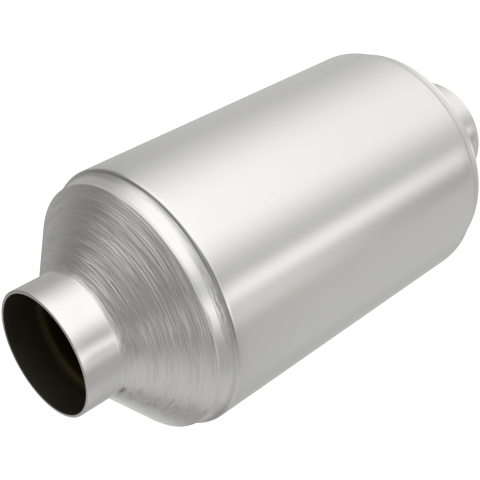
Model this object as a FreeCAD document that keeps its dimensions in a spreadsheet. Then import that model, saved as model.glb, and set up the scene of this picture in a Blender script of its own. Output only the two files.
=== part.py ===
import FreeCAD, Part
import math
import os

import Sketcher
from FreeCAD import Placement, Rotation, Vector

# Round exhaust catalytic converter, in millimetres.
# One stainless tube is spun down at both ends into cones and straight necks.
# Inside it two ceramic bricks sit in fibre mats, with knitted wire seals at the
# outer ends and a rolled steel spacer ring between the bricks.
# The flow axis is Z. The inlet neck points up and the part stands on the outlet rim.

doc = FreeCAD.newDocument("converter")

# Driving sizes: name, value, what it is
SIZES = [
    ("body_diameter", 127.0, "outside of the straight body"),
    ("body_length", 170.8, "body between the feet of its two rounded edges"),
    ("shell_wall", 1.6, "sheet thickness of the spun shell"),
    ("edge_radius", 2.3, "rounding at the edge of the body"),
    ("shoulder_drop", 1.4, "radial step from the body down to the shoulder band"),
    ("band_length", 7.4, "tapered shoulder band"),
    ("band_drop", 2.5, "radial fall along the band"),
    ("crest_rise", 0.6, "how far the cone starts above the band's end"),
    ("crest_run", 0.85, "length of that rise along the axis"),
    ("cone_angle", 49.3, "cone wall against the axis, in degrees"),
    ("neck_length", 18.8, "straight neck from the cone to the rim"),
    ("pipe_diameter", 57.15, "exhaust pipe that slips into the neck"),
    ("slip_clearance", 0.15, "the neck is this much wider than the pipe"),
    ("mat_thickness", 2.7, "fibre mat pressed between brick and shell"),
    ("brick_setback", 4.7, "brick face behind the edge of the body"),
    ("brick_gap", 9.0, "space between the two bricks"),
    ("brick_skin", 1.2, "closed skin round the cells"),
    ("cell_pitch", 15.0, "spacing of the square cells"),
    ("cell_wall", 1.6, "wall between two cells"),
    ("seam_gap", 0.4, "open seam of the wrapped mat"),
    ("seam_tongue", 12.0, "how far the tongue reaches past the seam"),
    ("tongue_width", 24.0, "width of the tongue along the axis"),
    ("seal_width", 5.0, "knitted wire seal along the axis"),
    ("spacer_bar", 4.0, "thickness of the spacer's flat bar, across the axis"),
]

sheet = doc.addObject("Spreadsheet::Sheet", "Sizes")
for row, (alias, value, meaning) in enumerate(SIZES, start=1):
    sheet.set(f"A{row}", alias)
    sheet.set(f"B{row}", str(value))
    sheet.set(f"C{row}", meaning)
    sheet.setAlias(f"B{row}", alias)
doc.recompute()


def size(alias):
    return float(getattr(sheet, alias))


# Sizes that follow from the driving ones, as expressions on the sheet
S = "Sizes."
BODY_RADIUS = f"({S}body_diameter / 2)"
BORE_RADIUS = f"({BODY_RADIUS} - {S}shell_wall)"
BRICK_RADIUS = f"({BORE_RADIUS} - {S}mat_thickness)"
NECK_BORE = f"(({S}pipe_diameter + {S}slip_clearance) / 2)"
NECK_RADIUS = f"({NECK_BORE} + {S}shell_wall)"
EDGE_HEIGHT = f"({S}body_length / 2)"
ROUND_START = f"({EDGE_HEIGHT} - {S}edge_radius)"
# The point halfway round the edge, at 45 degrees
ROUND_RADIUS = f"({BODY_RADIUS} - {S}edge_radius * (1 - cos(45)))"
ROUND_HEIGHT = f"({EDGE_HEIGHT} - {S}edge_radius * (1 - sin(45)))"
FOOT_RADIUS = f"({BODY_RADIUS} - {S}shoulder_drop)"
CREASE_RADIUS = f"({FOOT_RADIUS} - {S}band_drop)"
CREASE_HEIGHT = f"({EDGE_HEIGHT} + {S}band_length)"
CREST_RADIUS = f"({CREASE_RADIUS} + {S}crest_rise)"
CREST_HEIGHT = f"({CREASE_HEIGHT} + {S}crest_run)"
NECK_HEIGHT = f"({CREST_HEIGHT} + ({CREST_RADIUS} - {NECK_RADIUS}) / tan({S}cone_angle))"
HALF_LENGTH = f"({NECK_HEIGHT} + {S}neck_length)"
BRICK_FACE = f"({EDGE_HEIGHT} - {S}brick_setback)"
BRICK_LENGTH = f"({BRICK_FACE} - {S}brick_gap / 2)"
MAT_LENGTH = f"({BRICK_LENGTH} - {S}seal_width)"


def value(expression):
    """The number that an expression on the sheet gives, in millimetres."""
    result = sheet.evalExpression(expression)
    return float(getattr(result, "Value", result))


def plane(body, role):
    return next(f for f in body.Origin.OriginFeatures if f.Role == role)


def new_body(name):
    """A body modelled about the middle of the converter and lifted onto its outlet rim."""
    body = doc.addObject("PartDesign::Body", name)
    body.Label = name
    body.setExpression("Placement.Base.z", HALF_LENGTH)
    return body


def new_sketch(body, name, role="XZ_Plane"):
    sketch = body.newObject("Sketcher::SketchObject", name)
    sketch.AttachmentSupport = [(plane(body, role), "")]
    sketch.MapMode = "FlatFace"
    return sketch


def pin_corner(sketch, line, across, along):
    """Ties the start of a line to two sizes: distance from the axis and from the middle."""
    x = sketch.addConstraint(Sketcher.Constraint("DistanceX", -1, 1, line, 1, value(across)))
    sketch.setExpression(f"Constraints[{x}]", across)
    y = sketch.addConstraint(Sketcher.Constraint("DistanceY", -1, 1, line, 1, value(along)))
    sketch.setExpression(f"Constraints[{y}]", along)


def polygon(sketch, corners):
    """A closed outline whose corners are pairs of expressions. None leaves a corner free,
    with a first guess in its place, for the constraints that come after."""
    points = []
    for across, along in corners:
        if isinstance(across, str):
            points.append(Vector(value(across), value(along), 0))
        else:
            points.append(Vector(across, along, 0))
    for i, start in enumerate(points):
        sketch.addGeometry(Part.LineSegment(start, points[(i + 1) % len(points)]))
    for i in range(len(points)):
        sketch.addConstraint(Sketcher.Constraint("Coincident", i, 2, (i + 1) % len(points), 1))
    for i, (across, along) in enumerate(corners):
        if isinstance(across, str):
            pin_corner(sketch, i, across, along)


def revolve(body, sketch, name):
    turn = body.newObject("PartDesign::Revolution", name)
    turn.Profile = sketch
    turn.ReferenceAxis = (sketch, ["V_Axis"])
    turn.Angle = 360.0
    sketch.Visibility = False
    body.Tip = turn
    return turn


def make_shell():
    """The spun tube: half of its wall section, revolved and mirrored. The edge of the
    body is rounded in two facets, and the wall keeps one thickness along the cone."""
    body = new_body("spun_shell")
    section = new_sketch(body, "shell_section")
    wall = size("shell_wall")
    lean = math.radians(size("cone_angle"))
    # First guess of the two free inner corners: the outer ones moved in by the wall
    guess_neck = value(NECK_HEIGHT) - wall * math.tan(lean / 2)
    guess_crest = (value(CREASE_RADIUS) - wall, value(CREASE_HEIGHT))
    guess_bore = value(EDGE_HEIGHT) - 2 * wall
    # Each line of the outline starts at the corner that is given with its name
    outline = {
        "body": (BODY_RADIUS, "0"),
        "edge below 45 degrees": (BODY_RADIUS, ROUND_START),
        "edge above 45 degrees": (ROUND_RADIUS, ROUND_HEIGHT),
        "band": (FOOT_RADIUS, EDGE_HEIGHT),
        "crest": (CREASE_RADIUS, CREASE_HEIGHT),
        "cone": (CREST_RADIUS, CREST_HEIGHT),
        "neck": (NECK_RADIUS, NECK_HEIGHT),
        "rim": (NECK_RADIUS, HALF_LENGTH),
        "inside of neck": (NECK_BORE, HALF_LENGTH),
        "inside of cone": (value(NECK_BORE), guess_neck),
        "inside of band": guess_crest,
        "inside of body": (value(BORE_RADIUS), guess_bore),
        "middle": (BORE_RADIUS, "0"),
    }
    polygon(section, list(outline.values()))
    line = list(outline).index
    # The wall follows the cone and the band at one thickness
    section.addConstraint(Sketcher.Constraint("Vertical", line("inside of neck")))
    section.addConstraint(Sketcher.Constraint("Vertical", line("inside of body")))
    for outside in ("cone", "band"):
        inside = f"inside of {outside}"
        section.addConstraint(Sketcher.Constraint("Parallel", line(outside), line(inside)))
        gap = section.addConstraint(Sketcher.Constraint("Distance", line(inside), 2, line(outside), wall))
        section.setExpression(f"Constraints[{gap}]", f"{S}shell_wall")
    half = revolve(body, section, "shell_half")
    mirror = body.newObject("PartDesign::Mirrored", "shell_both_ends")
    mirror.Originals = [half]
    mirror.MirrorPlane = (plane(body, "XY_Plane"), [""])
    body.Tip = mirror
    return body


def cell_outlines(core_radius, pitch, wall):
    """Square cells on a grid, kept inside the round core. A cell that crosses the
    skin is cut by it, and one that would be less than a quarter open is left solid."""
    open_width = pitch - wall
    core = Part.Face(Part.Wire(Part.makeCircle(core_radius)))
    reach = int(core_radius / pitch) + 1
    wires = []
    for column in range(-reach, reach + 1):
        for row in range(-reach, reach + 1):
            corner = Vector(column * pitch - open_width / 2, row * pitch - open_width / 2, 0)
            far = math.hypot(abs(column * pitch) + open_width / 2, abs(row * pitch) + open_width / 2)
            near = math.hypot(max(abs(column * pitch) - open_width / 2, 0),
                              max(abs(row * pitch) - open_width / 2, 0))
            if near >= core_radius:
                continue
            cell = Part.makePlane(open_width, open_width, corner)
            if far < core_radius:
                wires.append(cell.Wires[0])
                continue
            cut = cell.common(core)
            if cut.Area > open_width * open_width / 4:
                wires.append(cut.Faces[0].OuterWire)
    return wires


def make_brick(name, base_height):
    """An extruded ceramic honeycomb with a closed skin. Its section with every cell
    is one face, swept along the flow."""
    radius = value(BRICK_RADIUS)
    length = value(BRICK_LENGTH)
    outline = Part.Wire(Part.makeCircle(radius))
    cells = cell_outlines(radius - size("brick_skin"), size("cell_pitch"), size("cell_wall"))
    section = Part.makeFace([outline] + cells, "Part::FaceMakerBullseye")
    solid = section.extrude(Vector(0, 0, length))
    brick = doc.addObject("Part::Feature", name)
    brick.Label = name
    brick.Shape = solid
    brick.Placement = Placement(Vector(0, 0, value(HALF_LENGTH) + base_height), Rotation())
    return brick


def make_mat(name, base_height, seam_turn):
    """A fibre mat wrapped once round its brick, with a tongue at the seam."""
    body = new_body(name)
    ring = new_sketch(body, name + "_ring", "XY_Plane")
    for radius in (BORE_RADIUS, BRICK_RADIUS):
        circle = ring.addGeometry(Part.Circle(Vector(0, 0, 0), Vector(0, 0, 1), value(radius)))
        ring.addConstraint(Sketcher.Constraint("Coincident", circle, 3, -1, 1))
        girth = ring.addConstraint(Sketcher.Constraint("Radius", circle, value(radius)))
        ring.setExpression(f"Constraints[{girth}]", radius)
    wrap = body.newObject("PartDesign::Pad", name + "_wrap")
    wrap.Profile = ring
    wrap.setExpression("Length", MAT_LENGTH)
    seam = new_sketch(body, name + "_seam")
    half_gap = f"{S}seam_gap / 2"
    low = f"({MAT_LENGTH} - {S}tongue_width) / 2"
    high = f"({MAT_LENGTH} + {S}tongue_width) / 2"
    below = f"-{S}seam_gap"
    above = f"{MAT_LENGTH} + {S}seam_gap"
    polygon(seam, [
        (f"-{half_gap}", below),
        (half_gap, below),
        (half_gap, f"{low} - {half_gap}"),
        (f"{S}seam_tongue + {half_gap}", f"{low} - {half_gap}"),
        (f"{S}seam_tongue + {half_gap}", f"{high} + {half_gap}"),
        (half_gap, f"{high} + {half_gap}"),
        (half_gap, above),
        (f"-{half_gap}", above),
        (f"-{half_gap}", f"{high} - {half_gap}"),
        (f"{S}seam_tongue - {half_gap}", f"{high} - {half_gap}"),
        (f"{S}seam_tongue - {half_gap}", f"{low} + {half_gap}"),
        (f"-{half_gap}", f"{low} + {half_gap}"),
    ])
    slot = body.newObject("PartDesign::Pocket", name + "_slot")
    slot.Profile = seam
    slot.Type = "ThroughAll"
    body.Tip = slot
    body.Placement = Placement(Vector(0, 0, 0), Rotation(Vector(0, 0, 1), seam_turn))
    body.setExpression("Placement.Base.z", f"{HALF_LENGTH} + {base_height}")
    return body


def make_ring(name, inside, width, base_height):
    """A plain ring that lies against the shell's bore."""
    body = new_body(name)
    section = new_sketch(body, name + "_section")
    polygon(section, [
        (inside, "0"),
        (BORE_RADIUS, "0"),
        (BORE_RADIUS, width),
        (inside, width),
    ])
    revolve(body, section, name + "_turned")
    body.setExpression("Placement.Base.z", f"{HALF_LENGTH} + {base_height}")
    return body


# The pieces, from the shell inwards
half_gap = value(f"{S}brick_gap / 2")
brick_length = value(BRICK_LENGTH)
pieces = [
    make_shell(),
    make_brick("inlet_brick", half_gap),
    make_brick("outlet_brick", -half_gap - brick_length),
    make_mat("inlet_mat", f"{S}brick_gap / 2", 0),
    make_mat("outlet_mat", f"-{BRICK_FACE} + {S}seal_width", 180),
    make_ring("inlet_wire_seal", BRICK_RADIUS, f"{S}seal_width", f"{BRICK_FACE} - {S}seal_width"),
    make_ring("outlet_wire_seal", BRICK_RADIUS, f"{S}seal_width", f"-{BRICK_FACE}"),
    make_ring("spacer_ring", f"({BORE_RADIUS} - {S}spacer_bar)", f"{S}brick_gap", f"-{S}brick_gap / 2"),
]
doc.recompute()

# Every object is sound before anything is written
for item in doc.Objects:
    if "Invalid" in item.State or "Error" in item.State:
        raise RuntimeError(f"{item.Name} failed: {item.State}")
os.makedirs("parts", exist_ok=True)
for piece in pieces:
    shape = piece.Shape
    if shape.isNull() or not shape.isValid():
        raise RuntimeError(f"{piece.Label} has no valid shape")
    shape.exportStep(f"parts/{piece.Label}.step")
    box = shape.BoundBox
    print(f"{piece.Label}: {len(shape.Solids)} solid, {shape.Volume / 1000:.2f} cm3, "
          f"z {box.ZMin:.2f} to {box.ZMax:.2f}, radius {box.XMax:.2f}")
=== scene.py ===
import math

import bpy
import numpy as np
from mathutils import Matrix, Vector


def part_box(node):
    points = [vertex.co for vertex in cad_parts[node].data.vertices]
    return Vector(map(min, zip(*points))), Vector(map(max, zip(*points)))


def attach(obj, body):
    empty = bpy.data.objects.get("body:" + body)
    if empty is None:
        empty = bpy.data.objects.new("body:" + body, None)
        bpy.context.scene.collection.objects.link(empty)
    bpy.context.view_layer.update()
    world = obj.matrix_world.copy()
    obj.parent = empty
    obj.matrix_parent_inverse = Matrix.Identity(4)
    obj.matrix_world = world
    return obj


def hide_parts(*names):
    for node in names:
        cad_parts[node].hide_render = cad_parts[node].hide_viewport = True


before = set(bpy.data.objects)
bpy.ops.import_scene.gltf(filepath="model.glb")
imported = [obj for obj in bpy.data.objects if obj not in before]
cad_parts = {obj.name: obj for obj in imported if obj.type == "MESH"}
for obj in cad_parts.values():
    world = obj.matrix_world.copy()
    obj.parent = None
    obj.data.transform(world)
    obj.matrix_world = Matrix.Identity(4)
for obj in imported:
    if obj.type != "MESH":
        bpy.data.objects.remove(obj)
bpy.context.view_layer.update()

print("frame loaded")

# Everything below is in metres and degrees, unless its comment says otherwise.
# The converter stands on its outlet rim. Its gas axis is the Z axis, inlet neck up.
mm = 0.001
shellLow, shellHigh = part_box("spun_shell")
middle = (shellLow.z + shellHigh.z) / 2
halfLength = (shellHigh.z - shellLow.z) / 2


# Mesh making

# A mesh piece of quads in the place of a CAD node, which it hides; it rides with the root body.
def newPiece(name, vertices, faces, material, node):
    mesh = bpy.data.meshes.new(name)
    mesh.vertices.add(len(vertices))
    mesh.vertices.foreach_set("co", np.ascontiguousarray(vertices, np.float32).ravel())
    corners = np.ascontiguousarray(faces, np.int32)
    mesh.loops.add(corners.size)
    mesh.loops.foreach_set("vertex_index", corners.ravel())
    mesh.polygons.add(len(corners))
    mesh.polygons.foreach_set("loop_start", np.arange(0, corners.size, corners.shape[1], dtype=np.int32))
    mesh.update(calc_edges=True)
    mesh.materials.append(material)
    piece = bpy.data.objects.new(name, mesh)
    bpy.context.scene.collection.objects.link(piece)
    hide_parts(node)
    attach(piece, "root")
    return piece


# Quads of a grid that closes on itself both ways: row i, column j is vertex i times the
# columns plus j, and each quad joins a vertex to its next row and next column.
def gridFaces(rows, columns):
    i = np.arange(rows)[:, None]
    j = np.arange(columns)[None, :]
    nextRow = (i + 1) % rows
    nextColumn = (j + 1) % columns
    quads = [i * columns + j, i * columns + nextColumn, nextRow * columns + nextColumn, nextRow * columns + j]
    return np.stack(np.broadcast_arrays(*quads), axis=-1).reshape(-1, 4)


# Profile points (radius, height) turned round Z: x is the radius times the cosine of the turn,
# y the radius times its sine, z the height.
def turnedGrid(profile, turns):
    angle = np.linspace(0, 2 * math.pi, turns, endpoint=False)
    radius, height = profile[:, 0:1], profile[:, 1:2]
    x = radius * np.cos(angle)
    y = radius * np.sin(angle)
    z = np.broadcast_to(height, x.shape)
    return np.stack([x, y, z], axis=-1).reshape(-1, 3)


# A corner that turns by less than this many radians isn't rounded
leastTurn = 0.01


# A line through corners (radius, height, rounding). A rounded corner becomes an arc that touches
# both its lines, starting the rounding times tan(turn / 2) before the corner.
def roundedLine(corners, steps):
    points = [np.array(corners[0][:2], float)]
    for before, corner, after in zip(corners, corners[1:], corners[2:]):
        here = np.array(corner[:2], float)
        back = np.array(before[:2]) - here
        ahead = np.array(after[:2]) - here
        back /= np.linalg.norm(back)
        ahead /= np.linalg.norm(ahead)
        turn = math.pi - math.acos(np.clip(back @ ahead, -1, 1))
        if corner[2] == 0 or turn < leastTurn:
            points.append(here)
            continue
        reach = corner[2] * math.tan(turn / 2)
        bisector = (back + ahead) / np.linalg.norm(back + ahead)
        centre = here + bisector * corner[2] / math.cos(turn / 2)
        start = here + back * reach - centre
        sweep = np.linspace(0, turn, steps)
        side = np.sign(start[0] * ahead[1] - start[1] * ahead[0])
        cos, sin = np.cos(sweep), side * np.sin(sweep)
        arc = np.stack([cos * start[0] - sin * start[1], sin * start[0] + cos * start[1]], axis=1)
        points.extend(centre + arc)
    points.append(np.array(corners[-1][:2], float))
    return np.array(points)


# The same line with points added in equal steps wherever two lie further apart than longest.
def filled(points, longest):
    out = [points[0]]
    for a, b in zip(points, points[1:]):
        pieces = max(1, math.ceil(np.linalg.norm(b - a) / longest))
        share = np.arange(1, pieces + 1)[:, None] / pieces
        out.extend(a + (b - a) * share)
    return np.array(out)


# Where the line through p along a meets the line through q along b: the step along a is the
# cross product of (q - p) and b over that of a and b.
def crossing(p, a, q, b):
    step = ((q[0] - p[0]) * b[1] - (q[1] - p[1]) * b[0]) / (a[0] * b[1] - a[1] * b[0])
    return p + step * a


# A direction (radius, height) turned a quarter to its left, which is towards the axis for a line
# that runs up the outside.
def leftOf(direction):
    return np.array([-direction[1], direction[0]])


# Shader helpers

# A new material, its node tree and its Principled shader.
def newMaterial(name):
    material = bpy.data.materials.new(name)
    material.use_nodes = True
    tree = material.node_tree
    return material, tree, tree.nodes["Principled BSDF"]


# Sets a socket to a number or a colour, or links a socket into it.
def feed(tree, socket, value):
    if isinstance(value, (int, float)):
        socket.default_value = value
    elif isinstance(value, tuple):
        socket.default_value = (*value, 1.0)
    else:
        tree.links.new(value, socket)


# A Math node of numbers and sockets.
def maths(tree, operation, *values):
    node = tree.nodes.new("ShaderNodeMath")
    node.operation = operation
    for socket, value in zip(node.inputs, values):
        feed(tree, socket, value)
    return node.outputs[0]


# A Vector Math node of a vector and three numbers.
def vectorMaths(tree, operation, vector, numbers=(0.0, 0.0, 0.0)):
    node = tree.nodes.new("ShaderNodeVectorMath")
    node.operation = operation
    tree.links.new(vector, node.inputs[0])
    node.inputs[1].default_value = numbers
    return node.outputs


# The product of two or more values.
def product(tree, first, *others):
    for other in others:
        first = maths(tree, "MULTIPLY", first, other)
    return first


# The sum of two or more values.
def total(tree, first, *others):
    for other in others:
        first = maths(tree, "ADD", first, other)
    return first


# A Map Range node with soft ends: low becomes toLow, high becomes toHigh.
def spread(tree, value, low, high, toLow, toHigh):
    node = tree.nodes.new("ShaderNodeMapRange")
    node.interpolation_type = "SMOOTHSTEP"
    names = ("Value", "From Min", "From Max", "To Min", "To Max")
    for name, number in zip(names, (value, low, high, toLow, toHigh)):
        feed(tree, node.inputs[name], number)
    return node.outputs["Result"]


# 1 between two places, 0 outside them: it rises over the first pair and falls over the second.
def between(tree, value, rise, fall):
    return product(tree, spread(tree, value, *rise, 0.0, 1.0), spread(tree, value, *fall, 1.0, 0.0))


# 1 near one azimuth round the axis, from the camera's side towards +X, and 0 away from it. The
# cosine of the angle between is the dot product of (x, y), made one long, with the azimuth's
# own direction.
def nearAzimuth(tree, place, azimuth, full, edge):
    flat = vectorMaths(tree, "MULTIPLY", place, (1.0, 1.0, 0.0))[0]
    turn = math.radians(azimuth)
    towards = (math.sin(turn), -math.cos(turn), 0.0)
    cosine = vectorMaths(tree, "DOT_PRODUCT", vectorMaths(tree, "NORMALIZE", flat)[0], towards)["Value"]
    return spread(tree, cosine, math.cos(math.radians(edge)), math.cos(math.radians(full)), 0.0, 1.0)


# A Mix node of two colours: the first at factor 0, the second at 1. Its colours go in at sockets
# 6 and 7 and come out at 2.
def mixColours(tree, factor, first, second):
    node = tree.nodes.new("ShaderNodeMix")
    node.data_type = "RGBA"
    feed(tree, node.inputs[0], factor)
    feed(tree, node.inputs[6], first)
    feed(tree, node.inputs[7], second)
    return node.outputs[2]


# A Bump node for a height in metres.
def bumpFrom(tree, height, distance=1.0):
    node = tree.nodes.new("ShaderNodeBump")
    node.inputs["Strength"].default_value = 1.0
    node.inputs["Distance"].default_value = distance
    tree.links.new(height, node.inputs["Height"])
    return node.outputs["Normal"]


# The place on the object.
def objectPlace(tree):
    return tree.nodes.new("ShaderNodeTexCoord").outputs["Object"]


# The x, y and z of a vector.
def parts(tree, vector):
    split = tree.nodes.new("ShaderNodeSeparateXYZ")
    tree.links.new(vector, split.inputs[0])
    return split.outputs


# Distance along the axis from the middle of the body, the same at both ends.
def fromMiddle(tree, place):
    return maths(tree, "ABSOLUTE", maths(tree, "SUBTRACT", parts(tree, place)[2], middle))


# Surface effects used by more than one material

# The mean of a noise, and how patches differ from the marks that they lie over: the shares that
# they take of Across and Round, their layers and the layers' strength
noiseMean = 0.5
patches = dict(acrossShare=0.12, roundShare=0.6, detail=2.0, roughness=0.5)


# Marks that run round the axis. The noise is looked up at (x / r, y / r) times Round, and at
# the place along the profile, height less radius, times Across, so each mark is long round the
# axis and narrow across it. Heights are measured from the noise's mean, so that the edge of a
# mask makes no step. Patches are a wider and longer noise, looked up the same way.
def makeTurnedGroup():
    tree = bpy.data.node_groups.new("turnedMarks", "ShaderNodeTree")
    face = tree.interface
    for name in ("Across", "Round", "Detail", "Sharpness"):
        face.new_socket(name=name, in_out="INPUT", socket_type="NodeSocketFloat")
    for name in ("Height", "Patches"):
        face.new_socket(name=name, in_out="OUTPUT", socket_type="NodeSocketFloat")
    given = tree.nodes.new("NodeGroupInput").outputs
    result = tree.nodes.new("NodeGroupOutput").inputs
    x, y, z = parts(tree, objectPlace(tree))
    radius = maths(tree, "SQRT", total(tree, product(tree, x, x), product(tree, y, y)))
    along = maths(tree, "SUBTRACT", z, radius)

    def noise(acrossShare, roundShare, detail, roughness):
        point = tree.nodes.new("ShaderNodeCombineXYZ")
        turn = product(tree, given["Round"], roundShare)
        tree.links.new(product(tree, maths(tree, "DIVIDE", x, radius), turn), point.inputs[0])
        tree.links.new(product(tree, maths(tree, "DIVIDE", y, radius), turn), point.inputs[1])
        tree.links.new(product(tree, along, given["Across"], acrossShare), point.inputs[2])
        node = tree.nodes.new("ShaderNodeTexNoise")
        node.inputs["Scale"].default_value = 1.0
        feed(tree, node.inputs["Detail"], detail)
        feed(tree, node.inputs["Roughness"], roughness)
        tree.links.new(point.outputs[0], node.inputs["Vector"])
        return node.outputs[0]

    fine = noise(1.0, 1.0, given["Detail"], given["Sharpness"])
    tree.links.new(maths(tree, "SUBTRACT", fine, noiseMean), result["Height"])
    tree.links.new(noise(**patches), result["Patches"])
    return tree


# A group node with its own values.
def addGroup(tree, group, **values):
    node = tree.nodes.new("ShaderNodeGroup")
    node.node_tree = group
    for name, value in values.items():
        node.inputs[name].default_value = value
    return node.outputs


turnedMarks = makeTurnedGroup()
# Each kind of mark: how close across, how long round (fewer is longer), layers and their strength
marks = dict(
    grooves=dict(Across=1900.0, Round=1.4, Detail=1.5, Sharpness=0.6),
    fine=dict(Across=2500.0, Round=2.0, Detail=1.0, Sharpness=0.5),
    grain=dict(Across=5200.0, Round=9.0, Detail=3.0, Sharpness=0.5),
    scuffs=dict(Across=2300.0, Round=6.0, Detail=1.5, Sharpness=0.6),
    dashes=dict(Across=1250.0, Round=4.5, Detail=1.0, Sharpness=0.6),
    scale=dict(Across=700.0, Round=2.5, Detail=4.0, Sharpness=0.6),
    rolled=dict(Across=2400.0, Round=5.0, Detail=4.0, Sharpness=0.6),
)


# Finishes

stainless = dict(
    colour=(0.80, 0.796, 0.783),
    tint=(0.795, 0.787, 0.768),
    roughness=0.2,
    coneRoughness=0.24,
    grooveDepth=0.42 * mm,
    wornGrooves=(0.35, 0.6, 0.35, 1.0),  # where the patches make the grooves shallower, and how much
    fineDepth=0.14 * mm,
    footDepth=0.3 * mm,
    neckRootDepth=0.2 * mm,
    bandScuffDepth=0.65 * mm,
    bandScuffPlace=(-19.0, 3.0, 17.0),  # azimuth, half width at full, half width where it ends
    coneScuffDepth=0.95 * mm,
    coneScuffPlace=(-78.0, 3.0, 15.0),
    grainDepth=0.003 * mm,
    # How far painted shade darkens the colour in the step
    footShade=0.84,
    stain=(0.2, 0.19, 0.18),
    stainPlace=(-0.0299, -0.0081, 0.2568),
    stainSize=(3.2 * mm, 5.0 * mm, 1.9 * mm),
    stainFade=(0.1, 1.0, 0.7, 0.0),  # shares of that size, and how strong the stain is at each
)
# Stretches of the profile. Each fades in over the first pair of heights and out over the second,
# both counted from a corner of the profile.
stretches = dict(
    cone=(("crest", -1.0 * mm, 0.4 * mm), ("root", 0.2 * mm, 2.6 * mm)),
    bandFoot=(("foot", -0.3 * mm, 0.2 * mm), ("foot", 0.9 * mm, 3.4 * mm)),
    step=(("foot", -0.9 * mm, -0.3 * mm), ("foot", 0.3 * mm, 1.1 * mm)),
    neckRoot=(("root", -2.4 * mm, -1.2 * mm), ("root", -0.2 * mm, 1.2 * mm)),
    band=(("foot", -0.4 * mm, 0.6 * mm), ("foot", 1.5 * mm, 4.5 * mm)),
)


# 1 on a stretch of the profile, 0 off it.
def onStretch(tree, height, places, name):
    rise, fall = ([places[corner][1] + past for past in pair] for corner, *pair in stretches[name])
    return between(tree, height, rise, fall)


# Satin stainless sheet. Height is a sum of marks, each times its depth and the mask of where it
# lies: grooves and fine lines on the cones, fine lines at the band's foot and the neck's root,
# scuffs on the band and dashes on the cone at one azimuth each, grain all over. The stain fades
# with the length of the offset from its place over its size.
def makeStainless(places):
    material, tree, shader = newMaterial("spunStainless")
    place = objectPlace(tree)
    height = fromMiddle(tree, place)
    on = {name: onStretch(tree, height, places, name) for name in stretches}
    kinds = ("grooves", "fine", "grain", "scuffs", "dashes")
    grooves, fine, grain, scuffs, dashes = (addGroup(tree, turnedMarks, **marks[kind]) for kind in kinds)
    worn = spread(tree, fine["Patches"], *stainless["wornGrooves"])
    onConeScuff = product(tree, on["cone"], nearAzimuth(tree, place, *stainless["coneScuffPlace"]))
    onBandScuff = product(tree, on["band"], nearAzimuth(tree, place, *stainless["bandScuffPlace"]))
    relief = total(
        tree,
        product(tree, grooves["Height"], worn, on["cone"], stainless["grooveDepth"]),
        product(tree, fine["Height"], on["cone"], stainless["fineDepth"]),
        product(tree, fine["Height"], on["bandFoot"], stainless["footDepth"]),
        product(tree, fine["Height"], on["neckRoot"], stainless["neckRootDepth"]),
        product(tree, scuffs["Height"], onBandScuff, stainless["bandScuffDepth"]),
        product(tree, dashes["Height"], onConeScuff, stainless["coneScuffDepth"]),
        product(tree, grain["Height"], stainless["grainDepth"]),
    )
    tree.links.new(bumpFrom(tree, relief), shader.inputs["Normal"])
    # Colour: two near greys in patches, darker in the step as painted shade, with one small stain at the
    # neck's root
    clean = mixColours(tree, grooves["Patches"], stainless["colour"], stainless["tint"])
    stepPaintedShade = mixColours(tree, on["step"], clean, tuple(stainless["footShade"] * c for c in stainless["colour"]))
    offset = vectorMaths(tree, "SUBTRACT", place, stainless["stainPlace"])[0]
    share = vectorMaths(tree, "DIVIDE", offset, stainless["stainSize"])[0]
    stained = spread(tree, vectorMaths(tree, "LENGTH", share)["Value"], *stainless["stainFade"])
    tree.links.new(mixColours(tree, stained, stepPaintedShade, stainless["stain"]), shader.inputs["Base Color"])
    rough = spread(tree, on["cone"], 0.0, 1.0, stainless["roughness"], stainless["coneRoughness"])
    tree.links.new(rough, shader.inputs["Roughness"])
    shader.inputs["Metallic"].default_value = 1.0
    return material


inner = dict(
    # The steel's near-black colours are browned steel darkened further by painted shade inside the neck
    paintedShadeSteelDark=(0.032, 0.026, 0.0145),
    paintedShadeSteelLight=(0.066, 0.055, 0.03),
    dustDark=(0.14, 0.105, 0.042),
    dustLight=(0.26, 0.195, 0.08),
    steelRoughness=0.55,
    dustRoughness=0.8,
    steelMetallic=0.5,
    dustEdge=(-2.0 * mm, 5.0 * mm),  # where the dust is full and where it ends, from the neck's root
)


# The inside of the shell, lit only through the necks: browned steel in the neck, its colour made
# near black as painted shade, dusted with washcoat from the cone inwards. Both are mixed by how far
# they lie from the middle.
def makeScaledSteelPaintedShade(places):
    material, tree, shader = newMaterial("scaledSteelPaintedShade")
    height = fromMiddle(tree, objectPlace(tree))
    full, gone = (places["root"][1] + past for past in inner["dustEdge"])
    dusted = spread(tree, height, full, gone, 1.0, 0.0)
    scale = addGroup(tree, turnedMarks, **marks["scale"])
    steel = mixColours(tree, scale["Patches"], inner["paintedShadeSteelDark"], inner["paintedShadeSteelLight"])
    dust = mixColours(tree, total(tree, scale["Height"], noiseMean), inner["dustDark"], inner["dustLight"])
    tree.links.new(mixColours(tree, dusted, steel, dust), shader.inputs["Base Color"])
    rough = spread(tree, dusted, 0.0, 1.0, inner["steelRoughness"], inner["dustRoughness"])
    tree.links.new(rough, shader.inputs["Roughness"])
    metallic = spread(tree, dusted, 0.0, 1.0, inner["steelMetallic"], 0.0)
    tree.links.new(metallic, shader.inputs["Metallic"])
    return material


ceramic = dict(
    dark=(0.27, 0.21, 0.125),
    light=(0.42, 0.34, 0.21),
    grain=160.0,
    grainDetail=6.0,
    grainDepth=0.03 * mm,
    roughness=0.85,
)


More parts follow.
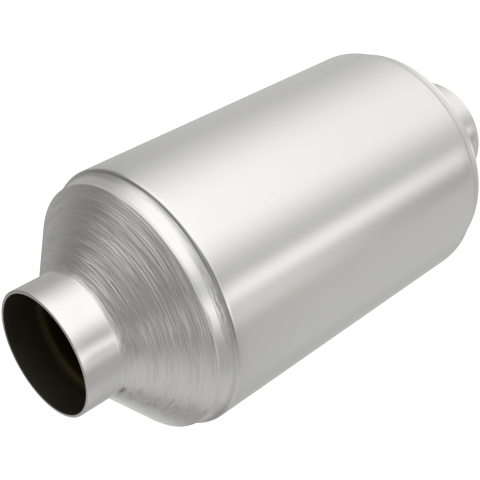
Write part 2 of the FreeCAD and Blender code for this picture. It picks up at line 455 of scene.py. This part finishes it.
# Washcoated ceramic: dull brown with a fine grain.
def makeCeramic():
    material, tree, shader = newMaterial("coatedCeramic")
    place = objectPlace(tree)
    noise = tree.nodes.new("ShaderNodeTexNoise")
    noise.inputs["Scale"].default_value = ceramic["grain"]
    noise.inputs["Detail"].default_value = ceramic["grainDetail"]
    tree.links.new(place, noise.inputs["Vector"])
    colour = mixColours(tree, noise.outputs[0], ceramic["dark"], ceramic["light"])
    tree.links.new(colour, shader.inputs["Base Color"])
    tree.links.new(bumpFrom(tree, noise.outputs[0], ceramic["grainDepth"]), shader.inputs["Normal"])
    shader.inputs["Roughness"].default_value = ceramic["roughness"]
    return material


fibre = dict(
    dark=(0.52, 0.47, 0.36),
    light=(0.78, 0.74, 0.64),
    mica=(0.30, 0.22, 0.12),
    strands=700.0,
    strandDetail=8.0,
    strandBend=1.5,
    strandDepth=0.2 * mm,
    flecks=420.0,
    fleckEdge=(0.12, 0.2),  # distance from a fleck's middle where it is full and where it ends
    roughness=0.9,
)


# Pale swelling mat of pressed fibre, flecked with mica.
def makeMatFibre():
    material, tree, shader = newMaterial("pressedFibre")
    place = objectPlace(tree)
    strands = tree.nodes.new("ShaderNodeTexNoise")
    strands.inputs["Scale"].default_value = fibre["strands"]
    strands.inputs["Detail"].default_value = fibre["strandDetail"]
    strands.inputs["Distortion"].default_value = fibre["strandBend"]
    flecks = tree.nodes.new("ShaderNodeTexVoronoi")
    flecks.inputs["Scale"].default_value = fibre["flecks"]
    for node in (strands, flecks):
        tree.links.new(place, node.inputs["Vector"])
    felt = mixColours(tree, strands.outputs[0], fibre["dark"], fibre["light"])
    fleck = spread(tree, flecks.outputs["Distance"], *fibre["fleckEdge"], 1.0, 0.0)
    tree.links.new(mixColours(tree, fleck, felt, fibre["mica"]), shader.inputs["Base Color"])
    tree.links.new(bumpFrom(tree, strands.outputs[0], fibre["strandDepth"]), shader.inputs["Normal"])
    shader.inputs["Roughness"].default_value = fibre["roughness"]
    return material


knitted = dict(name="knittedWire", colour=(0.56, 0.55, 0.53), roughness=0.4, lineDepth=0.02 * mm)
rolled = dict(name="rolledSteel", colour=(0.62, 0.62, 0.61), roughness=0.32, lineDepth=0.02 * mm)
# What both share: how dark the patches get, how far the roughness swings, and the line height
# that swings it fully
drawn = dict(darkShare=0.8, roughnessSwing=0.06, fullHeight=0.3)


# Drawn or rolled steel with faint marks round the axis. Its roughness follows their height.
def makeWire(finish):
    material, tree, shader = newMaterial(finish["name"])
    lines = addGroup(tree, turnedMarks, **marks["rolled"])
    dark = tuple(drawn["darkShare"] * c for c in finish["colour"])
    tree.links.new(mixColours(tree, lines["Patches"], dark, finish["colour"]), shader.inputs["Base Color"])
    smoothest = finish["roughness"] - drawn["roughnessSwing"]
    roughest = finish["roughness"] + drawn["roughnessSwing"]
    rough = spread(tree, lines["Height"], -drawn["fullHeight"], drawn["fullHeight"], smoothest, roughest)
    tree.links.new(rough, shader.inputs["Roughness"])
    tree.links.new(bumpFrom(tree, lines["Height"], finish["lineDepth"]), shader.inputs["Normal"])
    shader.inputs["Metallic"].default_value = 1.0
    return material


# The spun shell: one sheet with real roundings, rim edges and inside wall

shell = dict(
    bodyRadius=63.5 * mm,
    edgeHeight=84.85 * mm,
    edgeRounding=2.1 * mm,
    shoulderDrop=1.35 * mm,
    shoulderRun=0.8 * mm,
    rootRounding=0.7 * mm,
    bandLength=7.05 * mm,
    bandDrop=2.35 * mm,
    hollowShare=0.36,
    bandHollow=0.62 * mm,
    bandRounding=13.5 * mm,
    creaseRounding=2.6 * mm,
    crestRise=0.25 * mm,
    crestRun=1.1 * mm,
    crestRounding=0.8 * mm,
    coneAngle=50.1,
    neckRadius=30.25 * mm,
    neckRootRounding=4.2 * mm,
    rimRounding=0.3 * mm,
    wall=1.6 * mm,
    innerBend=4.0 * mm,
    longestRow=6.0 * mm,
    arcPoints=7,
    rimPoints=5,
    turns=288,
)


# The corners of one end's outside, as (radius, height from the middle of the body). Each is
# the one before plus its drop and length; the root is where the cone's line reaches the neck.
def shellPlaces():
    foot = np.array([shell["bodyRadius"] - shell["shoulderDrop"], shell["edgeHeight"] + shell["shoulderRun"]])
    crease = foot + np.array([-shell["bandDrop"], shell["bandLength"]])
    crest = crease + np.array([shell["crestRise"], shell["crestRun"]])
    slope = math.tan(math.radians(shell["coneAngle"]))
    root = np.array([shell["neckRadius"], crest[1] + (crest[0] - shell["neckRadius"]) / slope])
    band = (crease - foot) / np.linalg.norm(crease - foot)
    hollow = foot + shell["hollowShare"] * (crease - foot) + shell["bandHollow"] * leftOf(band)
    return dict(foot=foot, hollow=hollow, crease=crease, crest=crest, root=root, band=band)


# From the middle of the body to the rim: body, rounded edge, step, hollow band, crease, crest,
# cone, neck.
def outsideLine(places):
    corners = [
        (shell["bodyRadius"], 0, 0),
        (shell["bodyRadius"], shell["edgeHeight"], shell["edgeRounding"]),
        (*places["foot"], shell["rootRounding"]),
        (*places["hollow"], shell["bandRounding"]),
        (*places["crease"], shell["creaseRounding"]),
        (*places["crest"], shell["crestRounding"]),
        (*places["root"], shell["neckRootRounding"]),
        (shell["neckRadius"], halfLength - shell["rimRounding"], 0),
    ]
    return filled(roundedLine(corners, shell["arcPoints"]), shell["longestRow"])


# The same way along the inside: lines one sheet thickness behind the band and the cone, met
# with each other, the chamber and the bore.
def insideLine(places):
    lean = math.radians(shell["coneAngle"])
    cone = np.array([-math.sin(lean), math.cos(lean)])
    behindCone = places["crest"] + shell["wall"] * leftOf(cone)
    band = places["band"]
    behindBand = places["foot"] + shell["wall"] * leftOf(band)
    upright = np.array([0.0, 1.0])
    bore = shell["neckRadius"] - shell["wall"]
    chamber = shell["bodyRadius"] - shell["wall"]
    corners = [
        (chamber, 0, 0),
        (*crossing(np.array([chamber, 0.0]), upright, behindBand, band), shell["innerBend"]),
        (*crossing(behindBand, band, behindCone, cone), shell["innerBend"]),
        (*crossing(behindCone, cone, np.array([bore, 0.0]), upright), shell["innerBend"]),
        (bore, halfLength - shell["rimRounding"], 0),
    ]
    return filled(roundedLine(corners, shell["arcPoints"]), shell["longestRow"])


# The rim from outside to inside: a quarter circle, the flat, a quarter circle.
def rimLine():
    r = shell["rimRounding"]
    neck = shell["neckRadius"]
    bore = neck - shell["wall"]
    start = halfLength - r
    arc = np.linspace(0, math.pi / 2, shell["rimPoints"])
    rise, fall = arc[1:], arc[1:] - arc[1]
    outerArc = np.stack([neck - r + r * np.cos(rise), start + r * np.sin(rise)], axis=1)
    innerArc = np.stack([bore + r - r * np.sin(fall), start + r * np.cos(fall)], axis=1)
    return outerArc, innerArc


# The whole wall as one closed profile, out along one end, back inside, and the same mirrored,
# turned round Z.
def makeShell():
    places = shellPlaces()
    outside, inside = outsideLine(places), insideLine(places)
    outerRim, innerRim = rimLine()
    # One end from the middle outside, round the rim and back to the middle inside
    oneEnd = np.concatenate([outside[1:], outerRim, innerRim, inside[::-1][:-1]])
    insideStart = len(outside) + len(outerRim) + 1
    ring = np.concatenate([outside[:1], oneEnd, inside[:1], oneEnd[::-1] * np.array([1, -1])])
    ring[:, 1] += middle
    vertices = turnedGrid(ring, shell["turns"])
    faces = gridFaces(len(ring), shell["turns"])
    piece = newPiece("spunShellSkin", vertices, faces, makeStainless(places), "spun_shell")
    mesh = piece.data
    mesh.materials.append(makeScaledSteelPaintedShade(places))
    rows = np.arange(len(ring))
    insideRow = (rows >= insideStart) & (rows < len(ring) - insideStart)
    mesh.polygons.foreach_set("material_index", np.repeat(insideRow.astype(np.int32), shell["turns"]))
    mesh.polygons.foreach_set("use_smooth", np.ones(len(faces), bool))
    mesh.update()
    print("spun shell:", len(faces) * 2, "triangles")


# The honeycomb bricks: 400 cells to the square inch, open from face to face

brick = dict(
    cellPitch=1.27 * mm,
    cellOpening=1.09 * mm,
    latticeRadius=58.2 * mm,
    hullRadius=59.1 * mm,
    skinInside=57.6 * mm,
    skinProud=0.05 * mm,
    skinTurns=180,
)


# A square lattice with a square hole in each cell. Each end face is four quads a cell, from
# the cell's corners to its opening; four walls join the two ends; cells on the lattice's edge
# get a side wall. A corner past the hull radius is drawn in to it.
def latticeMesh(low, high):
    pitch, opening = brick["cellPitch"], brick["cellOpening"]
    reach = int(brick["latticeRadius"] / pitch) + 1
    index = np.arange(-reach, reach + 1)
    column, row = np.meshgrid(index, index, indexing="ij")
    inLattice = np.hypot(column, row) * pitch < brick["latticeRadius"]
    column, row = column[inLattice], row[inLattice]
    count = len(column)
    signs = np.array([(-1, -1), (1, -1), (1, 1), (-1, 1)])
    # A cell's corner is known by its column and row in one number, so that neighbours share it
    width = 4 * reach
    nodeColumn = column[:, None] + (signs[:, 0] > 0) + reach
    nodeRow = row[:, None] + (signs[:, 1] > 0) + reach
    keys, nodeIndex = np.unique(nodeColumn * width + nodeRow, return_inverse=True)
    nodeIndex = nodeIndex.reshape(count, 4)
    nodeX = (keys // width - reach - 0.5) * pitch
    nodeY = (keys % width - reach - 0.5) * pitch
    shrink = np.minimum(1.0, brick["hullRadius"] / np.hypot(nodeX, nodeY))
    openX = column[:, None] * pitch + signs[:, 0] * opening / 2
    openY = row[:, None] * pitch + signs[:, 1] * opening / 2
    flat = np.concatenate([np.stack([nodeX * shrink, nodeY * shrink], 1),
                           np.stack([openX.ravel(), openY.ravel()], 1)])
    layer = len(flat)
    vertices = np.concatenate([np.column_stack([flat, np.full(layer, z)]) for z in (low, high)])
    openIndex = len(keys) + np.arange(count * 4).reshape(count, 4)
    after = np.roll(np.arange(4), -1)
    nextOpen = openIndex[:, after]
    top = np.stack([nodeIndex, nodeIndex[:, after], nextOpen, openIndex], axis=-1).reshape(-1, 4)
    bottom = top[:, ::-1]
    walls = np.stack([openIndex, nextOpen, nextOpen + layer, openIndex + layer], axis=-1).reshape(-1, 4)
    # The lattice with an empty border, to look up whether a cell has a neighbour on each side
    full = np.zeros((2 * reach + 3, 2 * reach + 3), bool)
    full[1:-1, 1:-1] = inLattice
    sides = []
    for side, (dx, dy) in enumerate([(0, -1), (1, 0), (0, 1), (-1, 0)]):
        alone = ~full[column + reach + 1 + dx, row + reach + 1 + dy]
        a, b = nodeIndex[alone, side], nodeIndex[alone, after[side]]
        sides.append(np.stack([a, b, b + layer, a + layer], axis=-1))
    return vertices, np.concatenate([top + layer, bottom, walls[:, ::-1], *sides])


# A lattice inside a turned skin.
def makeBrick(name, node, material):
    low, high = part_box(node)
    vertices, faces = latticeMesh(low.z + brick["skinProud"], high.z - brick["skinProud"])
    inside, outside = brick["skinInside"], min(high.x, high.y)
    skin = np.array([(inside, low.z), (outside, low.z), (outside, high.z), (inside, high.z)])
    skinFaces = gridFaces(len(skin), brick["skinTurns"]) + len(vertices)
    vertices = np.concatenate([vertices, turnedGrid(skin, brick["skinTurns"])])
    faces = np.concatenate([faces, skinFaces[:, ::-1]])
    newPiece(name, vertices, faces, material, node)
    print(name + ":", len(faces) * 2, "triangles")


# A CAD node whose shape is right keeps it and gets its finish.
def dressNode(node, material):
    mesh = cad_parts[node].data
    mesh.materials.clear()
    mesh.materials.append(material)


# Camera, floor and light

camera = dict(
    location=(0.0, -0.41065, 0.45294),
    rotation=(-34.477, 44.960, -134.358),
    lens=77.593,  # in millimetres, like the sensor
    sensor=36.0,
    nearest=0.01,
)


# The photograph's camera, as fitted to its outline.
def addCamera():
    data = bpy.data.cameras.new("camera")
    data.lens = camera["lens"]
    data.sensor_width = camera["sensor"]
    data.clip_start = camera["nearest"]
    item = bpy.data.objects.new("camera", data)
    item.location = camera["location"]
    item.rotation_euler = [math.radians(a) for a in camera["rotation"]]
    bpy.context.scene.collection.objects.link(item)
    bpy.context.scene.camera = item


floor = dict(
    size=6.0,
    colour=(0.9, 0.9, 0.9),
    roughness=0.9,
    glow=0.86,
)


# A pale floor that glows a little, so that it stays white under a soft contact shadow. The
# metal doesn't see it: it reflects the studio's light that comes from below. From underneath
# the floor is clear.
def addFloor():
    mesh = bpy.data.meshes.new("floor")
    half = floor["size"] / 2
    corners = [(-half, -half, 0), (half, -half, 0), (half, half, 0), (-half, half, 0)]
    mesh.from_pydata(corners, [], [(0, 1, 2, 3)])
    item = bpy.data.objects.new("floor", mesh)
    bpy.context.scene.collection.objects.link(item)
    material, tree, shader = newMaterial("floorWhite")
    shader.inputs["Base Color"].default_value = (*floor["colour"], 1)
    shader.inputs["Roughness"].default_value = floor["roughness"]
    shader.inputs["Specular IOR Level"].default_value = 0.0
    shader.inputs["Emission Color"].default_value = (1, 1, 1, 1)
    shader.inputs["Emission Strength"].default_value = floor["glow"]
    mix = tree.nodes.new("ShaderNodeMixShader")
    tree.links.new(tree.nodes.new("ShaderNodeNewGeometry").outputs["Backfacing"], mix.inputs[0])
    tree.links.new(shader.outputs[0], mix.inputs[1])
    tree.links.new(tree.nodes.new("ShaderNodeBsdfTransparent").outputs[0], mix.inputs[2])
    tree.links.new(mix.outputs[0], tree.nodes["Material Output"].inputs["Surface"])
    mesh.materials.append(material)
    item.visible_glossy = False
    item.visible_diffuse = False
    item.visible_shadow = False


# The studio's light by direction. The room is an even grey that changes with elevation: each of
# greys has the elevations where the change starts and ends, and the level before and after.
room = dict(
    greys=[(-38, -24, 0.585, 0.45), (15, 45, 0.45, 0.39), (75, 86, 0.39, 0.1)],
    white=(1.0, 0.999, 0.996),
    warm=(1.0, 0.955, 0.93),
    warmPatch=dict(azimuth=-64, left=(6, 14), right=(6, 14), low=(-90, -60), high=(0, 20)),
)
# On it lie soft boxes: azimuth from the camera's side towards +X, how far each side reaches at
# full and fades out, elevations where it fades in, is full, and fades out again, and the
# brightness that it adds. An elevation past 90 means that it doesn't fade there.
softBoxes = dict(
    nadir=dict(azimuth=50, left=(20, 100), right=(20, 110), low=(-91, -90), high=(-68, -52), level=0.29),
    mainFloor=dict(azimuth=32, left=(12, 52), right=(13, 90), low=(-72, -54), high=(-36, -12), level=0.43),
    mainLow=dict(azimuth=32, left=(12, 52), right=(13, 90), low=(-50, -15), high=(-36, -12), level=0.42),
    mainMid=dict(azimuth=36, left=(22, 64), right=(20, 74), low=(-36, -12), high=(-2, 16), level=0.77),
    mainHigh=dict(azimuth=50, left=(26, 47), right=(12, 54), low=(-2, 16), high=(15, 40), level=0.86),
    sideLow=dict(azimuth=-33, left=(0, 13), right=(0, 14), low=(-60, -38), high=(-28, -8), level=0.62),
    sideHigh=dict(azimuth=-36, left=(0, 19), right=(0, 25), low=(-28, -8), high=(20, 40), level=0.74),
    sideGlow=dict(azimuth=-50, left=(3, 13), right=(3, 9), low=(-43, -37), high=(-2, 12), level=0.2),
    sideShade=dict(azimuth=-54, left=(3, 12), right=(4, 12), low=(-64, -54), high=(-47, -38), level=-0.15),
    sideFloor=dict(azimuth=-56, left=(2, 22), right=(2, 24), low=(-91, -68), high=(-62, -52), level=0.18),
    sideDark=dict(azimuth=-40, left=(20, 45), right=(30, 52), low=(5, 22), high=(42, 58), level=-0.2),
    darkFlag=dict(azimuth=114, left=(12, 30), right=(14, 34), low=(-14, 0), high=(46, 62), level=-0.2),
    darkBack=dict(azimuth=158, left=(8, 24), right=(14, 34), low=(-4, 14), high=(40, 60), level=-0.15),
    darkFoot=dict(azimuth=175, left=(4, 12), right=(2, 9), low=(-30, -20), high=(-8, 4), level=-0.14),
    darkCeiling=dict(azimuth=125, left=(50, 90), right=(50, 90), low=(50, 66), high=(91, 92), level=-0.16),
    farFillLow=dict(azimuth=-112, left=(8, 24), right=(12, 27), low=(-38, -12), high=(15, 35), level=0.14),
    farFillHigh=dict(azimuth=-120, left=(25, 50), right=(20, 42), low=(15, 35), high=(48, 64), level=0.2),
    darkLeft=dict(azimuth=-140, left=(3, 15), right=(3, 14), low=(-24, -8), high=(18, 34), level=-0.1),
    backShade=dict(azimuth=-144, left=(6, 16), right=(12, 26), low=(-62, -50), high=(-36, -28), level=-0.07),
    leftFloor=dict(azimuth=-125, left=(40, 60), right=(35, 55), low=(-86, -76), high=(-62, -52), level=-0.1),
    backHigh=dict(azimuth=-162, left=(3, 12), right=(3, 12), low=(-28, -12), high=(8, 24), level=0.15),
    back=dict(azimuth=-170, left=(2, 10), right=(0, 12), low=(-91, -90), high=(10, 28), level=0.28),
)


# 1 inside a soft box, 0 outside it: the product of a soft step at each of its four sides.
def boxMask(tree, azimuth, elevation, box):
    away = maths(tree, "WRAP", maths(tree, "SUBTRACT", azimuth, box["azimuth"]), 180.0, -180.0)
    full, gone = box["left"]
    across = between(tree, away, (-gone, -full), box["right"])
    return product(tree, across, between(tree, elevation, box["low"], box["high"]))


# Azimuth and elevation of the looked-up direction give the room's grey, and each box adds its
# level times its mask. The camera itself sees white.
def addRoom():
    world = bpy.data.worlds.new("studio")
    bpy.context.scene.world = world
    world.use_nodes = True
    tree = world.node_tree
    tree.nodes.clear()
    direction = tree.nodes.new("ShaderNodeTexCoord")
    x, y, z = parts(tree, direction.outputs["Generated"])
    degrees = 180 / math.pi
    azimuth = product(tree, maths(tree, "ARCTAN2", x, product(tree, y, -1.0)), degrees)
    elevation = product(tree, maths(tree, "ARCSINE", z), degrees)
    level = room["greys"][0][2]
    for start, end, before, after in room["greys"]:
        level = total(tree, spread(tree, elevation, start, end, 0.0, after - before), level)
    for box in softBoxes.values():
        level = total(tree, level, product(tree, boxMask(tree, azimuth, elevation, box), box["level"]))
    studio = tree.nodes.new("ShaderNodeBackground")
    patch = boxMask(tree, azimuth, elevation, room["warmPatch"])
    tree.links.new(mixColours(tree, patch, room["white"], room["warm"]), studio.inputs["Color"])
    tree.links.new(level, studio.inputs["Strength"])
    white = tree.nodes.new("ShaderNodeBackground")
    white.inputs["Color"].default_value = (1, 1, 1, 1)
    rays = tree.nodes.new("ShaderNodeLightPath")
    mix = tree.nodes.new("ShaderNodeMixShader")
    out = tree.nodes.new("ShaderNodeOutputWorld")
    tree.links.new(rays.outputs["Is Camera Ray"], mix.inputs[0])
    tree.links.new(studio.outputs[0], mix.inputs[1])
    tree.links.new(white.outputs[0], mix.inputs[2])
    tree.links.new(mix.outputs[0], out.inputs[0])


addCamera()
addFloor()
addRoom()
bpy.context.scene.view_settings.view_transform = "Standard"
print("camera, floor and light set")

makeShell()
coated = makeCeramic()
makeBrick("inletHoneycomb", "inlet_brick", coated)
makeBrick("outletHoneycomb", "outlet_brick", coated)
felt = makeMatFibre()
wire = makeWire(knitted)
for node in ("inlet_mat", "outlet_mat"):
    dressNode(node, felt)
for node in ("inlet_wire_seal", "outlet_wire_seal"):
    dressNode(node, wire)
dressNode("spacer_ring", makeWire(rolled))
print("inside pieces finished")
